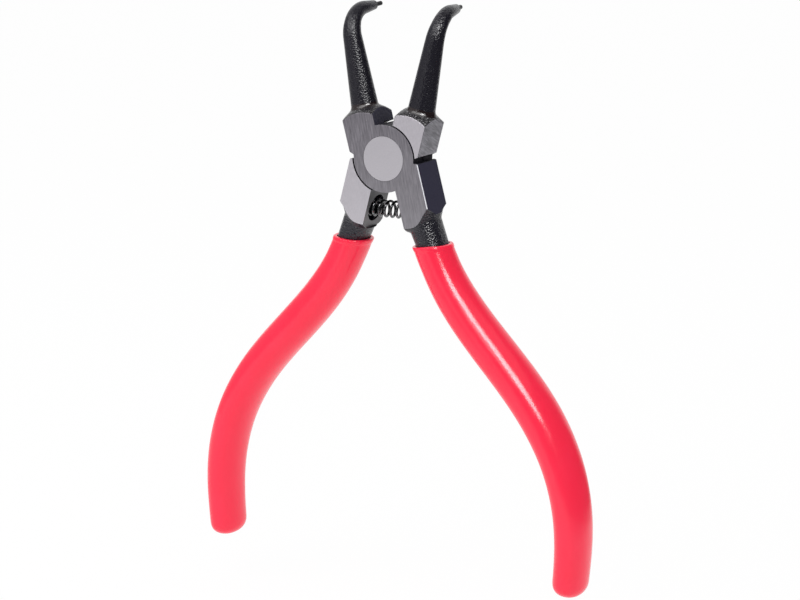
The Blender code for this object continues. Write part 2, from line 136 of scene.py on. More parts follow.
# Forged handle from the shoulder down to the neck, before its faces are ground flat:
# (Z, shift from the centre line towards the other handle, half width, half depth)
NECK_SECTIONS = (
    (-0.0010, 0.0015, 0.0095, 0.0090),
    (-0.0110, 0.0015, 0.0085, 0.0085),
    (-0.0130, 0.0016, 0.0064, 0.0074),
    (-0.0140, 0.0016, 0.0057, 0.0058),
    (-0.0150, 0.0017, 0.0054, 0.0052),
    (-0.0159, 0.0017, 0.0050, 0.0047),
    (-0.0165, 0.0008, 0.0042, 0.0043),
    (-0.0173, 0.0000, 0.0033, 0.0041),
)
NECK_LENGTH = 0.0036
TANG_HALF_WIDTH = 0.0031
TANG_HALF_DEPTH = 0.0040
TANG_TAPER_LENGTH = 0.0060

# Dipped sleeve over the tang, with its walls at places evenly spaced from its mouth to its end
GRIP_MOUTH_SLOPE_DEG = 9.0
GRIP_SIDE_WALLS = (0.0007, 0.0012, 0.0011, 0.0008, 0.0004)
GRIP_FACE_WALLS = (0.0006, 0.0014, 0.0020, 0.0016, 0.0010)
GRIP_END_WALL = 0.0025
GRIP_DOME_LENGTH = 0.0036
GRIP_LEVELLING_LENGTH = 0.0120
GRIP_RIM_LENGTH = 0.0007
GRIP_RIM_SWELL = 0.00012
GRIP_FIT_GAP = 0.00015

# Rounded section of handles and sleeves: 2 is an ellipse, more is squarer
SECTION_POWER = 2.4

# Facets around each kind of round shape
DISC_FACETS = 160
RIVET_FACETS = 128
CONE_FACETS = 144
JAW_FACETS = 72
HANDLE_FACETS = 96
PIN_FACETS = 40
WIRE_FACETS = 16
COIL_STEPS = 40
JAW_BEND_STEPS = 24
FILLET_STEPS = 10
GRIP_STEPS = 110

HALF_TURN = math.radians(CLOSING_TURN_DEG) / 2
MID_DEPTH = HEAD_THICKNESS / 2
SMOOTH_ANGLE = math.radians(35)
OVERCUT = 0.0020


# Closed bodies


def add_object(name, bm, material=None):
    """Object from a finished bmesh, shaded smooth but for its sharp edges."""
    bmesh.ops.recalc_face_normals(bm, faces=bm.faces)
    mesh = bpy.data.meshes.new(name)
    bm.to_mesh(mesh)
    bm.free()
    mesh.shade_smooth()
    mesh.set_sharp_from_angle(angle=SMOOTH_ANGLE)
    if material:
        mesh.materials.append(material)
    thing = bpy.data.objects.new(name, mesh)
    bpy.context.scene.collection.objects.link(thing)
    return thing


def loft(name, rings, material=None):
    """Closed body through rings of points, capped at both ends."""
    bm = bmesh.new()
    rows = [[bm.verts.new(point) for point in ring] for ring in rings]
    for low, high in zip(rows, rows[1:]):
        for i in range(len(low)):
            j = (i + 1) % len(low)
            bm.faces.new((low[i], low[j], high[j], high[i]))
    bm.faces.new(rows[0])
    bm.faces.new(rows[-1])
    return add_object(name, bm, material)


def prism(name, outline, near, far):
    """Outline in X and Z, extruded along Y from near to far."""
    return loft(name, [[Vector((x, y, z)) for x, z in outline] for y in (near, far)])


def turned(name, profile, facets, centre=(0, 0, 0), axis="Y", material=None):
    """Solid of revolution through (radius, place along the axis)."""
    turn = {"X": Matrix.Rotation(math.pi / 2, 3, "Y"), "Y": Matrix.Rotation(-math.pi / 2, 3, "X")}
    upright = turn.get(axis, Matrix.Identity(3))
    rings = []
    for radius, place in profile:
        ring = []
        for i in range(facets):
            angle = 2 * math.pi * i / facets
            flat = Vector((radius * math.cos(angle), radius * math.sin(angle), place))
            ring.append(Vector(centre) + upright @ flat)
        rings.append(ring)
    return loft(name, rings, material)


def combine(target, tool, operation):
    """Boolean of a target with a tool, which becomes a hidden guide."""
    tool.hide_render = True
    tool.display_type = "WIRE"
    modifier = target.modifiers.new(tool.name, "BOOLEAN")
    modifier.operation = operation
    modifier.solver = "EXACT"
    modifier.object = tool


def cross_section(centre, across, through, half_width, half_depth, facets, power=2.0):
    """Ring round a centre, an ellipse or a squarer oval."""
    ring = []
    for i in range(facets):
        angle = 2 * math.pi * i / facets
        cos, sin = math.cos(angle), math.sin(angle)
        wide = math.copysign(abs(cos) ** (2 / power), cos) * half_width
        deep = math.copysign(abs(sin) ** (2 / power), sin) * half_depth
        ring.append(centre + across * wide + through * deep)
    return ring


class Curve:
    """Smooth plane curve through (X, Z) points, read by the distance along it."""

    SAMPLES_PER_SPAN = 40

    def __init__(self, points):
        knots = np.array(points)
        chords = np.hypot(*np.diff(knots, axis=0).T)
        at = np.concatenate([[0.0], np.cumsum(chords)])
        fine = np.linspace(0.0, at[-1], self.SAMPLES_PER_SPAN * len(points))
        self.samples = self.natural_spline(at, knots, fine)
        steps = np.hypot(*np.diff(self.samples, axis=0).T)
        self.distances = np.concatenate([[0.0], np.cumsum(steps)])
        self.length = float(self.distances[-1])

    @staticmethod
    def natural_spline(at, knots, fine):
        """Natural cubic spline through the knots, read at the fine places."""
        count = len(at)
        gap = np.diff(at)
        system = np.eye(count)
        right = np.zeros_like(knots)
        for i in range(1, count - 1):
            system[i, i - 1] = gap[i - 1]
            system[i, i] = 2 * (gap[i - 1] + gap[i])
            system[i, i + 1] = gap[i]
            right[i] = 6 * ((knots[i + 1] - knots[i]) / gap[i] - (knots[i] - knots[i - 1]) / gap[i - 1])
        bend = np.linalg.solve(system, right)
        rows = []
        for place in fine:
            i = min(max(bisect.bisect_right(at.tolist(), place) - 1, 0), count - 2)
            after, before = place - at[i], at[i + 1] - place
            cubic = (bend[i] * before**3 + bend[i + 1] * after**3) / (6 * gap[i])
            start = (knots[i] / gap[i] - bend[i] * gap[i] / 6) * before
            end = (knots[i + 1] / gap[i] - bend[i + 1] * gap[i] / 6) * after
            rows.append(cubic + start + end)
        return np.array(rows)

    def point(self, distance):
        """Point at a distance, as X, 0 and Z."""
        x, z = (float(np.interp(distance, self.distances, self.samples[:, k])) for k in (0, 1))
        return Vector((x, 0.0, z))

    def across(self, distance):
        """Unit vector square to the curve in its plane, pointing outwards."""
        step = self.length / 200
        along = self.point(min(distance + step, self.length)) - self.point(max(distance - step, 0.0))
        return Vector((-along.z, 0.0, along.x)).normalized()

    def distance_at_height(self, height):
        """Distance along a falling curve at which it passes a height."""
        return float(np.interp(-height, -self.samples[:, 1], self.distances))


def spaced(first, last, count):
    """Evenly spaced numbers with both ends."""
    return [first + (last - first) * i / (count - 1) for i in range(count)]


def read_table(place, places, values):
    """Value at a place, straight between the given ones."""
    return float(np.interp(place, places, values))


HANDLE = Curve(HANDLE_LINE)
MOUTH = HANDLE.distance_at_height(NECK_SECTIONS[-1][0]) + NECK_LENGTH
DEPTHWARDS = Vector((0.0, 1.0, 0.0))


def dome_share(distance, end, length):
    """Share of its width that a rounded end still has, from 1 down to 0 at the end."""
    into = max(0.0, (distance - (end - length)) / length)
    return max(0.0, 1 - into**SECTION_POWER) ** (1 / SECTION_POWER)


def sleeve_places():
    """Distances of the rings that the tang and its sleeve share, from the mouth to the tang's rounded end."""
    return spaced(MOUTH, HANDLE.length - GRIP_END_WALL - GRIP_DOME_LENGTH, GRIP_STEPS)


def handle_ring(distance, half_width, half_depth, dipped=0.0, inset=0.0, power=SECTION_POWER):
    """Ring round the handle's centre line, turned by a share towards the line of the sleeve's mouth."""
    square = HANDLE.across(distance)
    slope = math.radians(GRIP_MOUTH_SLOPE_DEG)
    mouth_line = Vector((math.cos(slope), 0.0, -math.sin(slope)))
    across = square.lerp(mouth_line, dipped).normalized()
    stretch = 1 / across.dot(square)
    centre = HANDLE.point(distance) - square * inset
    return cross_section(centre, across, DEPTHWARDS, half_width * stretch, half_depth, HANDLE_FACETS, power)


def bore_rings():
    """Rings of the sleeve's bore, which follows the tang with a gap."""
    end = HANDLE.length - GRIP_END_WALL + GRIP_FIT_GAP
    rings = []
    for distance in sleeve_places() + dome_places(end, GRIP_DOME_LENGTH):
        share = dome_share(distance, end, GRIP_DOME_LENGTH)
        _, width, depth = tang_size(distance)
        width, depth = width * share + GRIP_FIT_GAP, depth * share + GRIP_FIT_GAP
        rings.append(wavy(handle_ring(distance, width, depth, dipped_share(distance)), distance))
    return rings


def dipped_share(distance):
    """Share by which a ring follows the line of the sleeve's mouth: 1 at the mouth, 0 further down."""
    away = (distance - MOUTH) / GRIP_LEVELLING_LENGTH
    return max(0.0, 1 - away) if away >= 0 else 0.0


def jaw_directions(bend):
    """Directions of the jaw before and after its bend; bend is 1 towards the back, -1 towards the front."""
    lean, inward, upward = (math.radians(a) for a in (JAW_LEAN_DEG, JAW_TIP_INWARD_DEG, JAW_TIP_UPWARD_DEG))
    rising = Vector((math.sin(lean), 0.0, math.cos(lean)))
    level = Vector((math.sin(inward), bend * math.cos(inward), 0.0))
    tip = level * math.cos(upward) + Vector((0.0, 0.0, math.sin(upward)))
    return rising, tip


def root_fillet():
    """Height above the jaw's root and added radius of each ring of the fillet between cone and jaw."""
    slope = math.radians(JAW_CONE_SLOPE_DEG)
    tangent = JAW_ROOT_FILLET * math.tan((math.pi / 2 - slope) / 2)
    rings = []
    for i in range(FILLET_STEPS + 1):
        angle = slope + (math.pi / 2 - slope) * i / FILLET_STEPS
        height = tangent - JAW_ROOT_FILLET * math.cos(angle)
        rings.append((height, JAW_ROOT_FILLET * (1 - math.sin(angle))))
    return rings


def jaw_stations(bend):
    """Centre, direction and radius of each ring of the jaw, from inside the shoulder to the jaw's end."""
    rising, tip = jaw_directions(bend)
    root = Vector((-JAW_AXIS_REACH, 0.0, JAW_ROOT_HEIGHT))
    bend_start = root + rising * JAW_STRAIGHT_LENGTH
    turn = rising.angle(tip)
    aside = (tip - rising * rising.dot(tip)).normalized()
    stations = [(root - rising * JAW_ROOT_RADIUS, rising, JAW_ROOT_RADIUS)]
    for i, (height, flare) in enumerate(root_fillet()):
        along = Vector((0.0, 0.0, 1.0)).lerp(rising, i / FILLET_STEPS).normalized()
        stations.append((root + along * height, along, JAW_ROOT_RADIUS + flare))
    stations.append((bend_start, rising, JAW_BEND_START_RADIUS))
    for i in range(1, JAW_BEND_STEPS + 1):
        share = i / JAW_BEND_STEPS
        angle = turn * share
        off = rising * math.sin(angle) + aside * (1 - math.cos(angle))
        along = rising * math.cos(angle) + aside * math.sin(angle)
        radius = JAW_BEND_START_RADIUS + (JAW_BEND_END_RADIUS - JAW_BEND_START_RADIUS) * share
        stations.append((bend_start + off * JAW_BEND_RADIUS, along, radius))
    stations.append((stations[-1][0] + tip * JAW_END_LENGTH, tip, JAW_END_RADIUS))
    return stations


def round_ring(centre, along, radius, facets):
    """Circle round a centre, square to a direction."""
    side = Vector((1.0, 0.0, 0.0))
    through = along.cross(side).normalized()
    return cross_section(centre, through.cross(along), through, radius, radius, facets)


def straight_bar(name, centre, along, places, facets, material=None):
    """Round bar along a direction through (distance, radius)."""
    rings = [round_ring(centre + along * distance, along, radius, facets) for distance, radius in places]
    return loft(name, rings, material)


def rivet_profile(gap, overrun):
    """Rivet's outline as (radius, place), or its bore's with a gap and an overrun past the faces."""
    face = HEAD_THICKNESS / 2
    rim = face - RIVET_RIM_HEIGHT
    neck = face - RIVET_HEAD_HEIGHT
    half = ((RIVET_HEAD_RADIUS, face + overrun), (RIVET_HEAD_RADIUS, rim), (RIVET_SHANK_RADIUS, neck))
    front = [(radius + gap, -place) for radius, place in half]
    back = [(radius + gap, place) for radius, place in reversed(half)]
    return front + back


def jaw_shoulder(label):
    """Block that carries the jaw, cut by the cone that the jaw leaves it through."""
    face = HEAD_THICKNESS / 2
    top = JAW_ROOT_HEIGHT + OVERCUT
    inner = -JAW_MEETING_GAP / 2
    fall = math.tan(math.radians(JAW_UNDERCUT_DEG))
    inside = JOINT_DISC_RADIUS / 2
    foot = JAW_SHOULDER_FOOT - (JAW_SHOULDER_REACH - inside) * fall
    outline = (
        (inner, 0.0),
        (inner, top),
        (-JAW_SHOULDER_REACH, top),
        (-JAW_SHOULDER_REACH, JAW_SHOULDER_FOOT),
        (-inside, foot),
    )
    block = prism(f"{label}_jaw_shoulder", outline, -face - OVERCUT, face + OVERCUT)
    slope = math.tan(math.radians(JAW_CONE_SLOPE_DEG))
    foot_radius = JAW_SHOULDER_REACH + face + OVERCUT
    tip_radius = JAW_ROOT_RADIUS * CONE_TIP_SHARE
    cone = (
        (foot_radius, -foot_radius),
        (foot_radius, JAW_ROOT_HEIGHT - (foot_radius - JAW_ROOT_RADIUS) * slope),
        (tip_radius, JAW_ROOT_HEIGHT + (JAW_ROOT_RADIUS - tip_radius) * slope),
    )
    centre = (-JAW_AXIS_REACH, 0.0, 0.0)
    combine(block, turned(f"{label}_jaw_cone", cone, CONE_FACETS, centre, "Z"), "INTERSECT")
    return block


def forged_handle(label):
    """Handle from its shoulder, which is ground flat at the sides and the top, to the end of its tang."""
    handle = loft(f"{label}_handle", tang_rings())
    past = HEAD_THICKNESS / 2 + OVERCUT
    inner = HANDLE_FACE_GAP / 2
    neck_end = NECK_SECTIONS[-1][0]
    low = HANDLE_LINE[-1][1] - OVERCUT
    wide = JAW_SHOULDER_REACH - low
    rise = math.tan(math.radians(HANDLE_TOP_SLOPE_DEG))
    inside = JOINT_DISC_RADIUS / 2
    window = (
        (inside, HANDLE_SHOULDER_TOP + (HANDLE_SHOULDER_REACH - inside) * rise),
        (HANDLE_SHOULDER_REACH, HANDLE_SHOULDER_TOP),
        (HANDLE_SHOULDER_REACH, neck_end),
        (wide, neck_end),
        (wide, low),
        (-wide, low),
        (-wide, neck_end),
        (inner, neck_end),
        (inner, -JOINT_DISC_RADIUS / 2),
    )
    combine(handle, prism(f"{label}_handle_window", window, -past, past), "INTERSECT")
    hole = ((SPRING_HOLE_RADIUS, -inner), (SPRING_HOLE_RADIUS, inner + SPRING_HOLE_DEPTH))
    drop = (0.0, 0.0, -SPRING_DROP)
    combine(handle, turned(f"{label}_spring_hole", hole, RIVET_FACETS, drop, "X"), "DIFFERENCE")
    return handle


def forged_half(label, bend):
    """One half of the pliers: joint plate, two shoulders, bent jaw and handle."""
    face = HEAD_THICKNESS / 2
    past = face + OVERCUT
    plate = ((JOINT_DISC_RADIUS, -past), (JOINT_DISC_RADIUS, past))
    half = turned(f"{label}_half", plate, DISC_FACETS)
    combine(half, jaw_shoulder(label), "UNION")
    combine(half, forged_handle(label), "UNION")
    wide = HANDLE.length + JAW_ROOT_HEIGHT
    square = ((-wide, -wide), (wide, -wide), (wide, wide), (-wide, wide))
    combine(half, prism(f"{label}_ground_faces", square, -face, face), "INTERSECT")
    stations = jaw_stations(bend)
    rings = [round_ring(centre, along, radius, JAW_FACETS) for centre, along, radius in stations]
    combine(half, loft(f"{label}_jaw", rings), "UNION")

    lap = LAP_GAP / 2
    seat = JOINT_DISC_RADIUS + JOINT_SEAT_GAP
    other_disc = ((seat, -lap), (seat, past))
    combine(half, turned(f"{label}_lap_cut", other_disc, DISC_FACETS), "DIFFERENCE")
    bore = rivet_profile(RIVET_GAP, OVERCUT)
    combine(half, turned(f"{label}_rivet_bore", bore, RIVET_FACETS), "DIFFERENCE")
    end, tip, _ = stations[-1]
    radius = PIN_RADIUS + PIN_FIT_GAP
    socket = ((-PIN_SEAT_DEPTH - PIN_FIT_GAP, radius), (PIN_REACH, radius))
    combine(half, straight_bar(f"{label}_pin_bore", end, tip, socket, PIN_FACETS), "DIFFERENCE")
    return half


def tip_pin(label, bend, material):
    """Pin pressed into the jaw's end, with a small chamfer on its free end."""
    end, tip, _ = jaw_stations(bend)[-1]
    places = (
        (-PIN_SEAT_DEPTH, PIN_RADIUS),
        (PIN_REACH - PIN_CHAMFER, PIN_RADIUS),
        (PIN_REACH, PIN_RADIUS - PIN_CHAMFER),
    )
    return straight_bar(f"{label}_tip_pin", end, tip, places, PIN_FACETS, material)


def make_rivet(material):
    """Rivet through both plates."""
    return turned("rivet_forging", rivet_profile(0.0, 0.0), RIVET_FACETS, material=material)


def spring_seat():
    """Height of the spring's axis and half its length along X, in the open pose.

    The axis passes the middle of each hole's mouth. The holes slope, so the top of the end turn meets the
    bottom of its hole first.
    """
    sin, cos = math.sin(HALF_TURN), math.cos(HALF_TURN)
    mouth = HANDLE_FACE_GAP / 2
    bottom = mouth + SPRING_HOLE_DEPTH
    axis_height = mouth * sin - SPRING_DROP * cos
    bottom_x = bottom * cos + SPRING_DROP * sin
    bottom_z = bottom * sin - SPRING_DROP * cos
    coil_top = axis_height + SPRING_COIL_RADIUS + SPRING_WIRE_RADIUS
    reach = bottom_x - (coil_top - bottom_z) * math.tan(HALF_TURN)
    return axis_height, reach - SPRING_WIRE_RADIUS - SPRING_END_GAP


def coil_point(turn, axis_height, half_length):
    """Centre of the wire after a number of turns; the first and last turns are closed."""
    closed_pitch = 2 * SPRING_WIRE_RADIUS * CLOSED_TURN_PITCH
    open_pitch = 2 * (half_length - closed_pitch) / (SPRING_TURNS - 2)
    closed = min(turn, 1.0) + max(0.0, turn - (SPRING_TURNS - 1))
    opened = min(max(turn - 1.0, 0.0), SPRING_TURNS - 2.0)
    angle = 2 * math.pi * turn
    return Vector((
        closed * closed_pitch + opened * open_pitch - half_length,
        SPRING_COIL_RADIUS * math.sin(angle),
        SPRING_COIL_RADIUS * math.cos(angle) + axis_height,
    ))


def make_spring(material):
    """Coil spring between the bottoms of the two blind holes."""
    axis_height, half_length = spring_seat()
    count = SPRING_TURNS * COIL_STEPS
    points = [coil_point(i / COIL_STEPS, axis_height, half_length) for i in range(count + 1)]
    rings = []
    for i, point in enumerate(points):
        along = (points[min(i + 1, count)] - points[max(i - 1, 0)]).normalized()
        rings.append(wire_ring(point, along))
    return loft("coil_spring", rings, material)


def wire_ring(centre, along):
    """Ring of the spring's wire, with its first corner towards the coil's end."""
    endways = Vector((1.0, 0.0, 0.0))
    aside = along.cross(endways).normalized()
    radius = SPRING_WIRE_RADIUS
    return cross_section(centre, aside.cross(along), aside, radius, radius, WIRE_FACETS)


# Finer grain of the handles and sleeves

NECK_BLEND = 0.0003
WALL_BLEND = 0.0080
BLEND_SAMPLES = 9
NECK_STEPS = 70
DOME_ANGLES = (0.06, 1.52)
DOME_STEPS = 22
RIM_STEPS = 9
RIM_LENGTHS = 2.4
MOUTH_WAVE = 0.00022
MOUTH_WAVE_REACH = 0.0060
GRIP_END_TRIM = 0.00003
SLEEVE_POWER = 2.15
SLEEVE_TRIM = 0.00003


def smooth_table(place, places, values, reach):
    """Value of a table at a place, averaged over its surroundings so that no crease shows."""
    offsets = spaced(-reach, reach, BLEND_SAMPLES)
    return sum(read_table(place + offset, places, values) for offset in offsets) / len(offsets)


def tang_size(distance):
    """Inward shift, half width and half depth of the forged handle at a distance along it."""
    places = [HANDLE.distance_at_height(section[0]) for section in NECK_SECTIONS]
    places.append(MOUTH + TANG_TAPER_LENGTH)
    rows = [section[1:] for section in NECK_SECTIONS] + [(0.0, TANG_HALF_WIDTH, TANG_HALF_DEPTH)]
    return [smooth_table(distance, places, column, NECK_BLEND) for column in zip(*rows)]


def dome_places(end, length):
    """Distances of the rings on a rounded end, closer together towards its tip."""
    return [end - length * (1 - math.sin(angle)) for angle in spaced(*DOME_ANGLES, DOME_STEPS)]


def tang_rings():
    """Rings of the forged handle from inside the joint to its rounded end."""
    start, neck = (HANDLE.distance_at_height(NECK_SECTIONS[i][0]) for i in (0, -1))
    end = HANDLE.length - GRIP_END_WALL
    rings = []
    for distance in spaced(start, neck, NECK_STEPS) + sleeve_places() + dome_places(end, GRIP_DOME_LENGTH):
        share = dome_share(distance, end, GRIP_DOME_LENGTH)
        inset, width, depth = tang_size(distance)
        rings.append(handle_ring(distance, width * share, depth * share, dipped_share(distance), inset))
    return rings


def sleeve_size(distance):
    """Outer half width and half depth of the sleeve at a distance along the handle."""
    places = spaced(MOUTH, HANDLE.length, len(GRIP_SIDE_WALLS))
    _, width, depth = tang_size(distance)
    side = GRIP_FIT_GAP + smooth_table(distance, places, GRIP_SIDE_WALLS, WALL_BLEND)
    face = GRIP_FIT_GAP + smooth_table(distance, places, GRIP_FACE_WALLS, WALL_BLEND)
    return width + side - SLEEVE_TRIM, depth + face


def wavy(ring, distance):
    """Ring of the sleeve pushed down the handle by the uneven line that dipping leaves at the mouth."""
    square = HANDLE.across(distance)
    down = Vector((square.z, 0.0, -square.x))
    fade = max(0.0, 1 - (distance - MOUTH) / MOUTH_WAVE_REACH) ** 2
    moved = []
    for i, point in enumerate(ring):
        angle = 2 * math.pi * i / len(ring)
        wave = 0.5 + 0.3 * math.sin(2 * angle + 0.8) + 0.2 * math.sin(3 * angle + 2.1)
        moved.append(point + down * (MOUTH_WAVE * fade * wave))
    return moved


def outer_ring(distance, half_width, half_depth):
    """Outer ring of the sleeve at a distance, with the unevenness of its mouth."""
    share = dipped_share(distance)
    return wavy(handle_ring(distance, half_width, half_depth, share, power=SLEEVE_POWER), distance)


def sleeve_outer_rings():
    """Outer rings of the sleeve: its rolled rim, its length and its rounded end."""
    rings = []
    quarter = spaced(0.0, math.pi / 2, RIM_STEPS)
    lip = [(0.35 * (1 - math.cos(angle)), 3 * math.sin(angle) - 2) for angle in quarter]
    tail = [(1.0 + step, 0.5 + 0.5 * math.cos(math.pi * step)) for step in spaced(0.0, 1.0, RIM_STEPS)]
    for along, swell in lip + tail:
        distance = MOUTH + along * GRIP_RIM_LENGTH
        width, depth = sleeve_size(distance)
        swell *= GRIP_RIM_SWELL
        rings.append(outer_ring(distance, width + swell, depth + swell))
    end = HANDLE.length - GRIP_END_TRIM
    start = MOUTH + RIM_LENGTHS * GRIP_RIM_LENGTH
    length_places = spaced(start, end - GRIP_DOME_LENGTH, GRIP_STEPS)
    for distance in length_places + dome_places(end, GRIP_DOME_LENGTH):
        share = dome_share(distance, end, GRIP_DOME_LENGTH)
        width, depth = sleeve_size(distance)
        rings.append(outer_ring(distance, width * share, depth * share))
    return rings


def fine_grip(name):
    """Sleeve round the tang, open at its mouth and closed at its end."""
    grip = loft(name, bore_rings()[::-1] + sleeve_outer_rings())
    grip.data.shade_smooth()
    return grip


# Surfaces of a half and their edges

FINE_BEVEL = 0.00030
BEVELLED_ANGLE = math.radians(30)
WELD_DISTANCE = 0.000002
SHORTEST_BEVELLED = 0.00004
RIVET_CLEARANCE = 0.0003
EDGE_SHARE = 0.35
SURFACE_MARGIN = 0.00003
# Band and overrun of the handle's front bevel that carries the painted highlight
HIGHLIGHT_EDGE_BAND = 0.0004
HIGHLIGHT_EDGE_OVERRUN = 0.0015
LUMP_HEIGHT = 0.00005
LUMP_SCALES = (420, 1100)
LUMP_START = 0.001
LUMP_MARGIN = 0.0003
EDGE_SHARES = {
    frozenset(("plate", "handle_side")): 0.75,
    frozenset(("cone", "inner_end")): 1.6,
    frozenset(("shoulder", "inner_end")): 1.2,
    frozenset(("recess", "inner_end")): 0.8,
}
ZONES = (
    "jaw", "root", "cone", "plate", "shoulder", "side",
    "handle_side", "inner", "inner_end", "neck", "recess", "edge",
)


def zone(centre, normal):
    """Which surface of a half a face belongs to, in the half's own frame."""
    face = HEAD_THICKNESS / 2
    x, y, z = centre
    near = SURFACE_MARGIN
    out = math.hypot(x + JAW_AXIS_REACH, y)
    cone = JAW_ROOT_HEIGHT - (out - JAW_ROOT_RADIUS) * math.tan(math.radians(JAW_CONE_SLOPE_DEG))
    if z > cone + near and z > JAW_SHOULDER_FOOT:
        return "root" if z < JAW_ROOT_HEIGHT + root_fillet()[-1][0] + near else "jaw"
    if abs(z - cone) < 2 * near and normal.z > 0.4:
        return "cone"
    if abs(normal.y) > 0.9:
        if y < near - face:
            return "plate"
        if y > face - near:
            return "shoulder"
        return "recess" if z > NECK_SECTIONS[1][0] else "neck"
    if z > 0:
        if normal.x < -0.9 and x < near - JAW_SHOULDER_REACH:
            return "side"
        if normal.x > 0.9 and x > -JAW_MEETING_GAP:
            return "inner_end"
        return "recess"
    if normal.x > 0.9 and x > HANDLE_SHOULDER_REACH - near:
        return "handle_side"
    if normal.x < -0.9 and abs(x - HANDLE_FACE_GAP / 2) < near:
        return "inner"
    return "neck" if z < NECK_SECTIONS[1][0] else "recess"


def baked(thing):
    """New object with a thing's mesh, its modifiers applied; the old one goes."""
    bpy.context.view_layer.update()
    graph = bpy.context.evaluated_depsgraph_get()
    mesh = bpy.data.meshes.new_from_object(thing.evaluated_get(graph))
    name = thing.name
    thing.name = name + "_raw"
    guides = [m.object for m in thing.modifiers if getattr(m, "object", None)]
    remove_with_guides(thing, guides)
    new = bpy.data.objects.new(name, mesh)
    bpy.context.scene.collection.objects.link(new)
    return new


def remove_with_guides(thing, guides):
    """Remove an object and the hidden guides that its booleans used, and theirs."""
    for guide in guides:
        inner = [m.object for m in guide.modifiers if getattr(m, "object", None)]
        remove_with_guides(guide, inner)
    bpy.data.objects.remove(thing, do_unlink=True)


def add_bevels(half):
    """Mark the crisp outer edges of a half and round them off a little."""
    mesh = half.data
    bm = bmesh.new()
    bm.from_mesh(mesh)
    bmesh.ops.remove_doubles(bm, verts=bm.verts, dist=WELD_DISTANCE)
    bmesh.ops.dissolve_degenerate(bm, edges=bm.edges, dist=WELD_DISTANCE)
    bmesh.ops.recalc_face_normals(bm, faces=bm.faces)
    weight = bm.edges.layers.float.new("bevel_weight_edge")
    for face in bm.faces:
        face.material_index = ZONES.index(zone(face.calc_center_median(), face.normal))
    for edge in bm.edges:
        if len(edge.link_faces) != 2 or not edge.is_convex or edge.calc_length() < SHORTEST_BEVELLED:
            continue
        if edge.calc_face_angle() < BEVELLED_ANGLE:
            continue
        middle = (edge.verts[0].co + edge.verts[1].co) / 2
        if math.hypot(middle.x, middle.z) < RIVET_HEAD_RADIUS + RIVET_CLEARANCE:
            continue
        kinds = {ZONES[face.material_index] for face in edge.link_faces}
        if kinds == {"neck"}:
            continue
        edge[weight] = EDGE_SHARES.get(frozenset(kinds), EDGE_SHARE)
    bm.to_mesh(mesh)
    bm.free()
    bevel = half.modifiers.new("edges", "BEVEL")
    bevel.limit_method = "WEIGHT"
    bevel.width = FINE_BEVEL
    bevel.segments = 2
    bevel.use_clamp_overlap = False
    bevel.harden_normals = False


def paint_edge_highlight(mesh):
    """Give the wide bevel of the handle's front edge the near-white material of its painted highlight."""
    reach = HANDLE_SHOULDER_REACH - HIGHLIGHT_EDGE_BAND
    foot = NECK_SECTIONS[1][0] - HIGHLIGHT_EDGE_OVERRUN
    for face in mesh.polygons:
        turned_out = face.normal.x > 0.25 and face.normal.y < -0.25
        if turned_out and face.center.x > reach and foot < face.center.z < HANDLE_SHOULDER_TOP:
            face.material_index = ZONES.index("edge")


def flatten_flats(half):
    """Shade the ground flats flat and what lies between them smooth."""
    half.data.shade_smooth()
    half.data.set_sharp_from_angle(angle=SMOOTH_ANGLE)
    weighted = half.modifiers.new("flats", "WEIGHTED_NORMAL")
    weighted.keep_sharp = True
    weighted.weight = 80


def uneven_jaw(mesh):
    """Slight unevenness of the forging on the jaw and the neck."""
    bm = bmesh.new()
    bm.from_mesh(mesh)
    low = NECK_SECTIONS[2][0]
    for vert in bm.verts:
        on_jaw = vert.co.z > JAW_ROOT_HEIGHT + LUMP_START
        on_neck = vert.co.z < low and abs(vert.co.y) < HEAD_THICKNESS / 2 - LUMP_MARGIN
        if on_jaw or on_neck:
            wide, narrow = (noise.noise(vert.co * scale) for scale in LUMP_SCALES)
            lump = wide * 0.6 + narrow * 0.4
            vert.co += vert.normal * (lump - 0.3) * LUMP_HEIGHT
    bm.to_mesh(mesh)
    bm.free()


# Materials

# Share by which ground steel is lightened towards its foot: painted light
PAINTED_FOOT_LIGHT = 0.10


def node(tree, kind, inputs=None, **settings):
    """Node with its settings, and its inputs set or linked."""
    made = tree.nodes.new(kind)
    for key, value in settings.items():
        setattr(made, key, value)
    for key, value in (inputs or {}).items():
        if isinstance(value, bpy.types.NodeSocket):
            tree.links.new(value, made.inputs[key])
        else:
            made.inputs[key].default_value = value
    return made


def new_material(name):
    """Material with its tree and its Principled shader."""
    material = bpy.data.materials.new(name)
    material.use_nodes = True
    tree = material.node_tree
    return material, tree, tree.nodes["Principled BSDF"]


def spot(tree, scale, turns=()):
    """Place on the piece, turned in one or more steps and then scaled per metre along the turned axes."""
    place = node(tree, "ShaderNodeTexCoord").outputs["Object"]
    for turn in turns:
        place = node(tree, "ShaderNodeMapping", {"Vector": place, "Rotation": turn}).outputs["Vector"]
    return node(tree, "ShaderNodeMapping", {"Vector": place, "Scale": scale}).outputs["Vector"]


def grains(tree, scale, turns=(), detail=3.0, roughness=0.6):
    """Noise between 0 and 1 of a given fineness per metre."""
    made = node(tree, "ShaderNodeTexNoise", {"Vector": spot(tree, scale, turns), "Scale": 1.0})
    made.inputs["Detail"].default_value = detail
    made.inputs["Roughness"].default_value = roughness
    return made.outputs["Fac"]


def stretch(tree, value, low, high, to_low=0.0, to_high=1.0, smooth=False):
    """Value spread from one range to another."""
    kind = "SMOOTHSTEP" if smooth else "LINEAR"
    inputs = {"Value": value, "From Min": low, "From Max": high, "To Min": to_low, "To Max": to_high}
    return node(tree, "ShaderNodeMapRange", inputs, interpolation_type=kind).outputs["Result"]


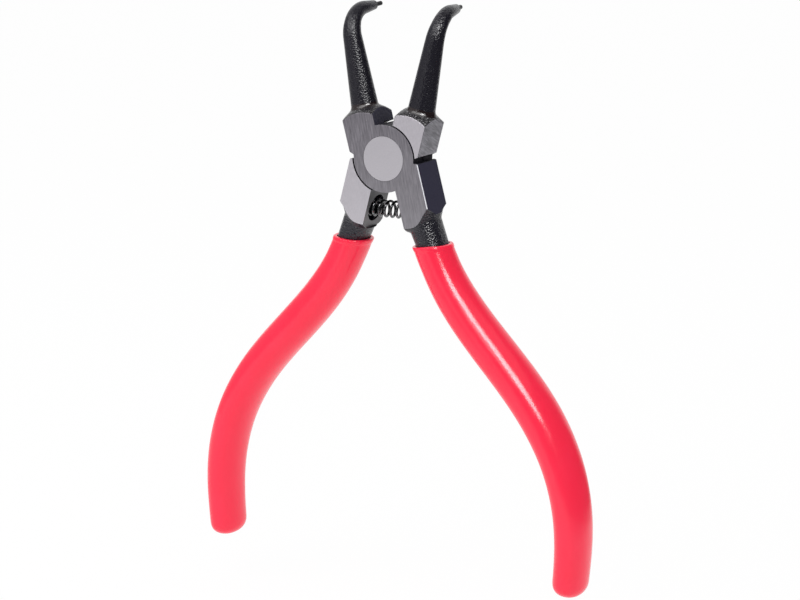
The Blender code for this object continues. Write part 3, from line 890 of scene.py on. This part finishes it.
def blend_colors(tree, share, first, second):
    """Colour between two colours by a share."""
    made = node(tree, "ShaderNodeMix", data_type="RGBA")
    sockets = {s.identifier: s for s in made.inputs}
    for key, value in (("Factor_Float", share), ("A_Color", first), ("B_Color", second)):
        if isinstance(value, bpy.types.NodeSocket):
            tree.links.new(value, sockets[key])
        else:
            sockets[key].default_value = value if key == "Factor_Float" else (*value, 1.0)
    return next(s for s in made.outputs if s.identifier == "Result_Color")


def add(tree, first, second, operation="ADD"):
    """Arithmetic on two values."""
    return node(tree, "ShaderNodeMath", {0: first, 1: second}, operation=operation).outputs[0]


def relief(tree, shader, height, depth):
    """Bump of a height map, with its real depth in metres."""
    bump = node(tree, "ShaderNodeBump", {"Height": height, "Distance": depth, "Strength": 1.0})
    tree.links.new(bump.outputs["Normal"], shader.inputs["Normal"])


def ground_steel(name, dark, light, grain, turns=(), scratches=0.35, rough=(0.34, 0.5), depth=0.000004):
    """Ground steel with fine parallel grain, faint clouds, a few scratches, and its foot lightened as painted
    light.
    """
    material, tree, shader = new_material(name)
    fine = grains(tree, grain, turns, detail=4.0, roughness=0.75)
    cloud = grains(tree, (260, 260, 260), detail=2.0)
    streaks = add(tree, stretch(tree, fine, 0.3, 0.7), 0.72, "MULTIPLY")
    tone = add(tree, streaks, add(tree, cloud, 0.28, "MULTIPLY"))
    color = blend_colors(tree, tone, dark, light)
    lines = grains(tree, tuple(g * 0.5 for g in grain), (*turns, (0.4, 0.6, 0.2)), detail=2.0)
    scratch = stretch(tree, lines, 0.74, 0.80, 0.0, scratches)
    place = node(tree, "ShaderNodeTexCoord").outputs["Object"]
    height = node(tree, "ShaderNodeSeparateXYZ", {"Vector": place}).outputs["Z"]
    # Bright scratches, and painted light that lightens the surface towards its foot
    scratches_and_painted_light = add(tree, stretch(tree, height, 0.009, -0.014, 0.0, PAINTED_FOOT_LIGHT), scratch, "MAXIMUM")
    tree.links.new(blend_colors(tree, scratches_and_painted_light, color, (0.95, 0.94, 0.96)), shader.inputs["Base Color"])
    tree.links.new(stretch(tree, fine, 0.3, 0.7, *rough), shader.inputs["Roughness"])
    shader.inputs["Metallic"].default_value = 1.0
    relief(tree, shader, fine, depth)
    return material


def forged_steel(name, base, worn, speck=0.62, rough=(0.36, 0.6), pit=0.00006, specular=0.5):
    """Black forged surface with pits, a grainy skin and lighter worn specks."""
    material, tree, shader = new_material(name)
    skin = grains(tree, (2600, 2600, 2600), detail=4.0, roughness=0.7)
    cells = node(tree, "ShaderNodeTexVoronoi", {"Vector": spot(tree, (2900, 2900, 2900)), "Scale": 1.0})
    pits = add(tree, cells.outputs["Distance"], cells.outputs["Distance"], "MULTIPLY")
    patch = grains(tree, (380, 380, 380), detail=2.0)
    flecks = stretch(tree, skin, speck, speck + 0.1)
    flecks = add(tree, flecks, stretch(tree, patch, 0.42, 0.62), "MULTIPLY")
    tree.links.new(blend_colors(tree, flecks, base, worn), shader.inputs["Base Color"])
    tree.links.new(stretch(tree, skin, 0.3, 0.7, *rough), shader.inputs["Roughness"])
    shader.inputs["Metallic"].default_value = 0.0
    shader.inputs["Specular IOR Level"].default_value = specular
    height = add(tree, pits, add(tree, skin, 0.16, "MULTIPLY"))
    relief(tree, shader, height, pit)
    return material


def painted_highlight_edge(name):
    """Bevel painted near-white as a painted highlight, mottled a little."""
    material, tree, shader = new_material(name)
    highlight_mottle = grains(tree, (1500, 1500, 700), detail=3.0)
    color = blend_colors(tree, highlight_mottle, (0.80, 0.80, 0.86), (0.95, 0.95, 1.0))
    tree.links.new(color, shader.inputs["Base Color"])
    tree.links.new(stretch(tree, highlight_mottle, 0.3, 0.7, 0.30, 0.42), shader.inputs["Roughness"])
    shader.inputs["Metallic"].default_value = 0.15
    return material


def dipped_vinyl(name):
    """Glossy red vinyl with a faint orange peel and a slow unevenness from dipping."""
    material, tree, shader = new_material(name)
    cloud = grains(tree, (120, 120, 120), detail=2.0)
    color = blend_colors(tree, cloud, (0.98, 0.016, 0.055), (1.0, 0.023, 0.072))
    tree.links.new(color, shader.inputs["Base Color"])
    peel = grains(tree, (1300, 1300, 1300), detail=2.0)
    tree.links.new(stretch(tree, peel, 0.3, 0.7, 0.17, 0.23), shader.inputs["Roughness"])
    shader.inputs["Specular IOR Level"].default_value = 0.5
    slow = grains(tree, (160, 160, 160), detail=1.0)
    height = add(tree, add(tree, peel, 0.06, "MULTIPLY"), slow)
    relief(tree, shader, height, 0.00012)
    return material


def black_wire(name):
    """Black spring wire with bright drawn streaks."""
    material, tree, shader = new_material(name)
    streak = grains(tree, (1800, 1800, 1800), detail=3.0)
    color = blend_colors(tree, stretch(tree, streak, 0.55, 0.75), (0.10, 0.10, 0.105), (0.66, 0.66, 0.67))
    tree.links.new(color, shader.inputs["Base Color"])
    tree.links.new(stretch(tree, streak, 0.3, 0.7, 0.10, 0.24), shader.inputs["Roughness"])
    shader.inputs["Metallic"].default_value = 1.0
    relief(tree, shader, streak, 0.000005)
    return material


def half_materials(label, turn):
    """Finish of each zone of a half whose own frame is reached by a turn about Y."""
    own = ((0.0, turn, 0.0),)
    grain = ((0.0, turn * 0.6, 0.0),)
    slanted = (*own, (0.42, 0.0, 0.0))
    # Ground steel: dark and light tone, grain per metre, its turns, scratches and roughness
    plate = ((0.128, 0.120, 0.138), (0.40, 0.378, 0.42), (3000, 3000, 240), grain, 0.8)
    shoulder = ((0.56, 0.535, 0.58), (0.72, 0.685, 0.74), (4500, 4500, 900), own, 0.1)
    side = ((0.14, 0.138, 0.157), (0.82, 0.80, 0.87), (700, 260, 3000), slanted, 0.3, (0.3, 0.5))
    inner = ((0.10, 0.10, 0.105), (0.24, 0.235, 0.245), (900, 3200, 3200), own)
    # Forged steel: base and worn tone, level of the specks, roughness, depth of the pits and sheen
    jaw = ((0.009, 0.008, 0.014), (0.09, 0.085, 0.10), 0.66, (0.19, 0.29), 0.00007, 0.44)
    # Root: its base is tinted brown as a painted reflection of something dark red
    root = ((0.014, 0.007, 0.008), (0.10, 0.09, 0.10), 0.66, (0.12, 0.20), 0.00003, 0.8)
    cone = ((0.013, 0.011, 0.015), (0.50, 0.49, 0.50), 0.55, (0.16, 0.32), 0.00007, 0.60)
    handle_side = ((0.031, 0.029, 0.053), (0.07, 0.07, 0.10), 0.68, (0.4, 0.6), 0.00001, 0.1)
    inner_end = ((0.037, 0.035, 0.057), (0.10, 0.10, 0.13), 0.62, (0.3, 0.5), 0.00006, 0.12)
    neck = ((0.012, 0.011, 0.018), (0.34, 0.33, 0.35), 0.62, (0.15, 0.27), 0.00010, 0.60)
    recess = ((0.012, 0.011, 0.017), (0.03, 0.03, 0.04), 0.66, (0.4, 0.6), 0.00003, 0.12)
    return {
        "jaw": forged_steel(f"{label}_jaw_black", *jaw),
        "root": forged_steel(f"{label}_root_black", *root),
        "cone": forged_steel(f"{label}_cone_black", *cone),
        "plate": ground_steel(f"{label}_plate_ground", *plate),
        "shoulder": ground_steel(f"{label}_shoulder_ground", *shoulder),
        "side": ground_steel(f"{label}_side_ground", *side),
        "handle_side": forged_steel(f"{label}_handle_side_black", *handle_side),
        "inner": ground_steel(f"{label}_inner_ground", *inner),
        "inner_end": forged_steel(f"{label}_inner_end_black", *inner_end),
        "neck": forged_steel(f"{label}_neck_black", *neck),
        "recess": forged_steel(f"{label}_recess_black", *recess),
        # The edge zone is the handle's front bevel, painted near-white as a painted highlight
        "edge": painted_highlight_edge(f"{label}_edge_painted_highlight"),
    }


# Pieces


def dress(piece, body, nodes):
    """Let a piece ride on its body, and stand for its nodes."""
    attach(piece, body)
    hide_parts(*nodes)


rivet_finish = ((0.595, 0.57, 0.615), (0.72, 0.69, 0.74), (5200, 5200, 2600), (), 0.12, (0.36, 0.46))
rivet_steel = ground_steel("rivet_ground", *rivet_finish)
vinyl = dipped_vinyl("vinyl_red")
wire_steel = black_wire("wire_black")
pin_steel = forged_steel("pin_dark", (0.02, 0.02, 0.022), (0.25, 0.25, 0.26), 0.6, (0.36, 0.6), 0.00002)
middle = Matrix.Translation((0.0, MID_DEPTH, 0.0))

for label, bend, turn in (("front", 1, 0.0), ("back", -1, math.pi)):
    arm = middle @ Matrix.Rotation(turn, 4, "Z") @ Matrix.Rotation(-HALF_TURN, 4, "Y")
    body = f"{label}_arm"

    half = baked(forged_half(label, bend))
    half.name = f"{label}_forging"
    finishes = half_materials(label, HALF_TURN * bend)
    half.data.materials.clear()
    for name in ZONES:
        half.data.materials.append(finishes[name])
    add_bevels(half)
    half = baked(half)
    uneven_jaw(half.data)
    paint_edge_highlight(half.data)
    half.data.transform(arm)
    flatten_flats(half)
    half = baked(half)
    dress(half, body, [f"{label}_half"])

    grip = fine_grip(f"{label}_sleeve")
    grip.data.materials.append(vinyl)
    grip.data.transform(arm)
    dress(grip, body, [f"{label}_grip"])

    pin = tip_pin(f"{label}_steel", bend, pin_steel)
    pin.data.transform(arm)
    dress(pin, body, [f"{label}_tip_pin"])

rivet = make_rivet(rivet_steel)
rivet.data.transform(middle)
dress(rivet, "back_arm", ["pivot_rivet"])

spring = make_spring(wire_steel)
spring.data.transform(middle)
dress(spring, "spring", ["opening_spring"])
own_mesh(spring)


# Studio

CLOSED_HANDLE_DROP = 0.0110
FLOOR_HEIGHT = CAD_BOX[0].z - CLOSED_HANDLE_DROP
AMBIENT = 0.86
FLOOR_GLOW = 0.94
CAMERA_YAW = 0.5075
CAMERA_PITCH = 0.2173
CAMERA_ROLL = 0.0018
CAMERA_DISTANCE = 0.50005
CAMERA_ASIDE = (-0.00155, 0.03208)
FOCAL_LENGTH_MM = 2242.64 * 36 / 800


def towards(azimuth, elevation):
    """Unit vector at an azimuth, 0 in front and 90 on the right, and an elevation, in degrees."""
    a, e = math.radians(azimuth), math.radians(elevation)
    return Vector((math.sin(a) * math.cos(e), -math.cos(a) * math.cos(e), math.sin(e)))


# Dim parts of the room: the way to each, the cosines between which it fades out, and the light left
BAND_WAY = towards(80, 2)
BAND_WIDE = (-0.10, 0.31)
BAND_MIDDLE = 0.16
BAND_TALL = (0.44, 0.62)
BAND_LEAST = 0.03
FLOOR_NEAR = (0.125, 0.215)
LEFT_WAY = towards(-70, 4)
LEFT_WIDE = (0.57, 0.71)
LEFT_LEAST = 0.40
LEFT_NEAR = (0.27, 0.44)
CEILING_WAY = towards(30, 85)
CEILING_WIDE = (0.62, 0.95)
CEILING_LEAST = 0.25


def light_path_shares(tree):
    """Whether a ray comes from the camera, and whether from a reflection or through glass."""
    path = node(tree, "ShaderNodeLightPath")
    reflected = add(tree, path.outputs["Is Glossy Ray"], path.outputs["Is Transmission Ray"], "MAXIMUM")
    return path.outputs["Is Camera Ray"], reflected


def facing(tree, way, centre, cosines, inside, outside):
    """Value that goes from outside to inside as a direction comes close to a centre."""
    dot = node(tree, "ShaderNodeVectorMath", {0: way, 1: centre}, operation="DOT_PRODUCT").outputs["Value"]
    return stretch(tree, dot, *cosines, outside, inside, smooth=True)


def make_world():
    """White room; in reflections it has a dark side, a dim left side and a dim ceiling."""
    world = bpy.data.worlds.new("studio")
    bpy.context.scene.world = world
    world.use_nodes = True
    tree = world.node_tree
    tree.nodes.clear()
    camera, reflected = light_path_shares(tree)
    coords = node(tree, "ShaderNodeTexCoord")
    way = coords.outputs["Generated"]
    height = node(tree, "ShaderNodeSeparateXYZ", {"Vector": way}).outputs["Z"]
    off = add(tree, add(tree, height, BAND_MIDDLE, "SUBTRACT"), 0.0, "ABSOLUTE")
    tall = stretch(tree, off, *BAND_TALL, smooth=True)
    band = add(tree, facing(tree, way, BAND_WAY, BAND_WIDE, 0.0, 1.0), tall, "MAXIMUM")
    left = add(tree, facing(tree, way, LEFT_WAY, LEFT_WIDE, 0.0, 1.0), tall, "MAXIMUM")
    shade = add(tree, reflected, stretch(tree, band, 0.0, 1.0, BAND_LEAST, 1.0), "MULTIPLY")
    shade = add(tree, shade, stretch(tree, left, 0.0, 1.0, LEFT_LEAST, 1.0), "MULTIPLY")
    shade = add(tree, shade, facing(tree, way, CEILING_WAY, CEILING_WIDE, CEILING_LEAST, 1.0), "MULTIPLY")
    seen = add(tree, camera, shade)
    other = add(tree, 1.0, add(tree, camera, reflected), "SUBTRACT")
    strength = add(tree, seen, add(tree, other, AMBIENT, "MULTIPLY"))
    back = node(tree, "ShaderNodeBackground", {"Color": (1.0, 1.0, 1.0, 1.0), "Strength": strength})
    out = node(tree, "ShaderNodeOutputWorld")
    tree.links.new(back.outputs["Background"], out.inputs["Surface"])


def make_floor():
    """Pale floor with a faint shadow of the object; in reflections it ends where the room is dark."""
    bm = bmesh.new()
    bmesh.ops.create_grid(bm, x_segments=8, y_segments=8, size=3.0)
    mesh = bpy.data.meshes.new("floor")
    bm.to_mesh(mesh)
    bm.free()
    floor = bpy.data.objects.new("floor", mesh)
    bpy.context.scene.collection.objects.link(floor)
    floor.location = (0.0, 0.0, FLOOR_HEIGHT)
    material, tree, shader = new_material("floor_white")
    shader.inputs["Base Color"].default_value = (0.93, 0.93, 0.93, 1.0)
    shader.inputs["Roughness"].default_value = 1.0
    shader.inputs["Specular IOR Level"].default_value = 0.0
    camera, reflected = light_path_shares(tree)
    place = node(tree, "ShaderNodeTexCoord").outputs["Object"]
    away = node(tree, "ShaderNodeVectorMath", {0: place}, operation="LENGTH").outputs["Value"]
    way = node(tree, "ShaderNodeVectorMath", {0: place}, operation="NORMALIZE").outputs["Vector"]
    strength = 1.0
    for centre, wide, near, least in (
        (BAND_WAY, BAND_WIDE, FLOOR_NEAR, BAND_LEAST),
        (LEFT_WAY, LEFT_WIDE, LEFT_NEAR, LEFT_LEAST),
    ):
        dark = add(tree, facing(tree, way, centre, wide, 1.0, 0.0), reflected, "MULTIPLY")
        dark = add(tree, dark, stretch(tree, away, *near, smooth=True), "MULTIPLY")
        strength = add(tree, stretch(tree, dark, 0.0, 1.0, 1.0, least), strength, "MULTIPLY")
    glow = node(tree, "ShaderNodeEmission", {"Color": (1.0, 1.0, 1.0, 1.0), "Strength": strength})
    share = add(tree, add(tree, camera, reflected), FLOOR_GLOW, "MULTIPLY")
    lit, glowing = shader.outputs["BSDF"], glow.outputs["Emission"]
    mixed = node(tree, "ShaderNodeMixShader", {0: share, 1: lit, 2: glowing})
    tree.links.new(mixed.outputs["Shader"], tree.nodes["Material Output"].inputs["Surface"])
    mesh.materials.append(material)


def make_lamp(name, azimuth, elevation, distance, size, radiance, diffuse=True, shape="RECTANGLE"):
    """Soft lamp of a given size and brightness that looks at the object."""
    lamp = bpy.data.lights.new(name, "AREA")
    lamp.shape = shape
    lamp.size, lamp.size_y = size
    lamp.energy = radiance * math.pi * size[0] * size[1]
    thing = bpy.data.objects.new(name, lamp)
    bpy.context.scene.collection.objects.link(thing)
    way = towards(azimuth, elevation)
    look = (-way).to_track_quat("-Z", "Y").to_matrix().to_4x4()
    target = Vector((0.0, MID_DEPTH, -0.035))
    thing.matrix_world = Matrix.Translation(target + way * distance) @ look
    thing.visible_diffuse = diffuse
    thing.visible_camera = False


def make_camera():
    """Camera at the photograph's viewing angle."""
    back = Vector((
        math.sin(CAMERA_YAW) * math.cos(CAMERA_PITCH),
        -math.cos(CAMERA_YAW) * math.cos(CAMERA_PITCH),
        math.sin(CAMERA_PITCH),
    ))
    level = Vector((math.cos(CAMERA_YAW), math.sin(CAMERA_YAW), 0.0))
    up = back.cross(level)
    right = level * math.cos(CAMERA_ROLL) + up * math.sin(CAMERA_ROLL)
    up = up * math.cos(CAMERA_ROLL) - level * math.sin(CAMERA_ROLL)
    aside, above = CAMERA_ASIDE
    place = Vector((0.0, MID_DEPTH, 0.0)) - right * aside - up * above + back * CAMERA_DISTANCE
    camera = bpy.data.cameras.new("camera")
    camera.lens = FOCAL_LENGTH_MM
    camera.sensor_width = 36
    camera.clip_start = 0.01
    thing = bpy.data.objects.new("camera", camera)
    bpy.context.scene.collection.objects.link(thing)
    turned_frame = Matrix((right, up, back)).transposed().to_4x4()
    thing.matrix_world = Matrix.Translation(place) @ turned_frame
    bpy.context.scene.camera = thing


make_world()
make_floor()
make_lamp("key", -25, 50, 0.7, (0.5, 0.5), 2.2)
make_lamp("strip", 52, 38, 0.7, (0.27, 0.30), 14.5, diffuse=False)
make_lamp("glow", 25, 44, 0.7, (0.50, 0.40), 2.5, diffuse=False, shape="ELLIPSE")
make_camera()
bpy.context.scene.view_settings.view_transform = "Standard"
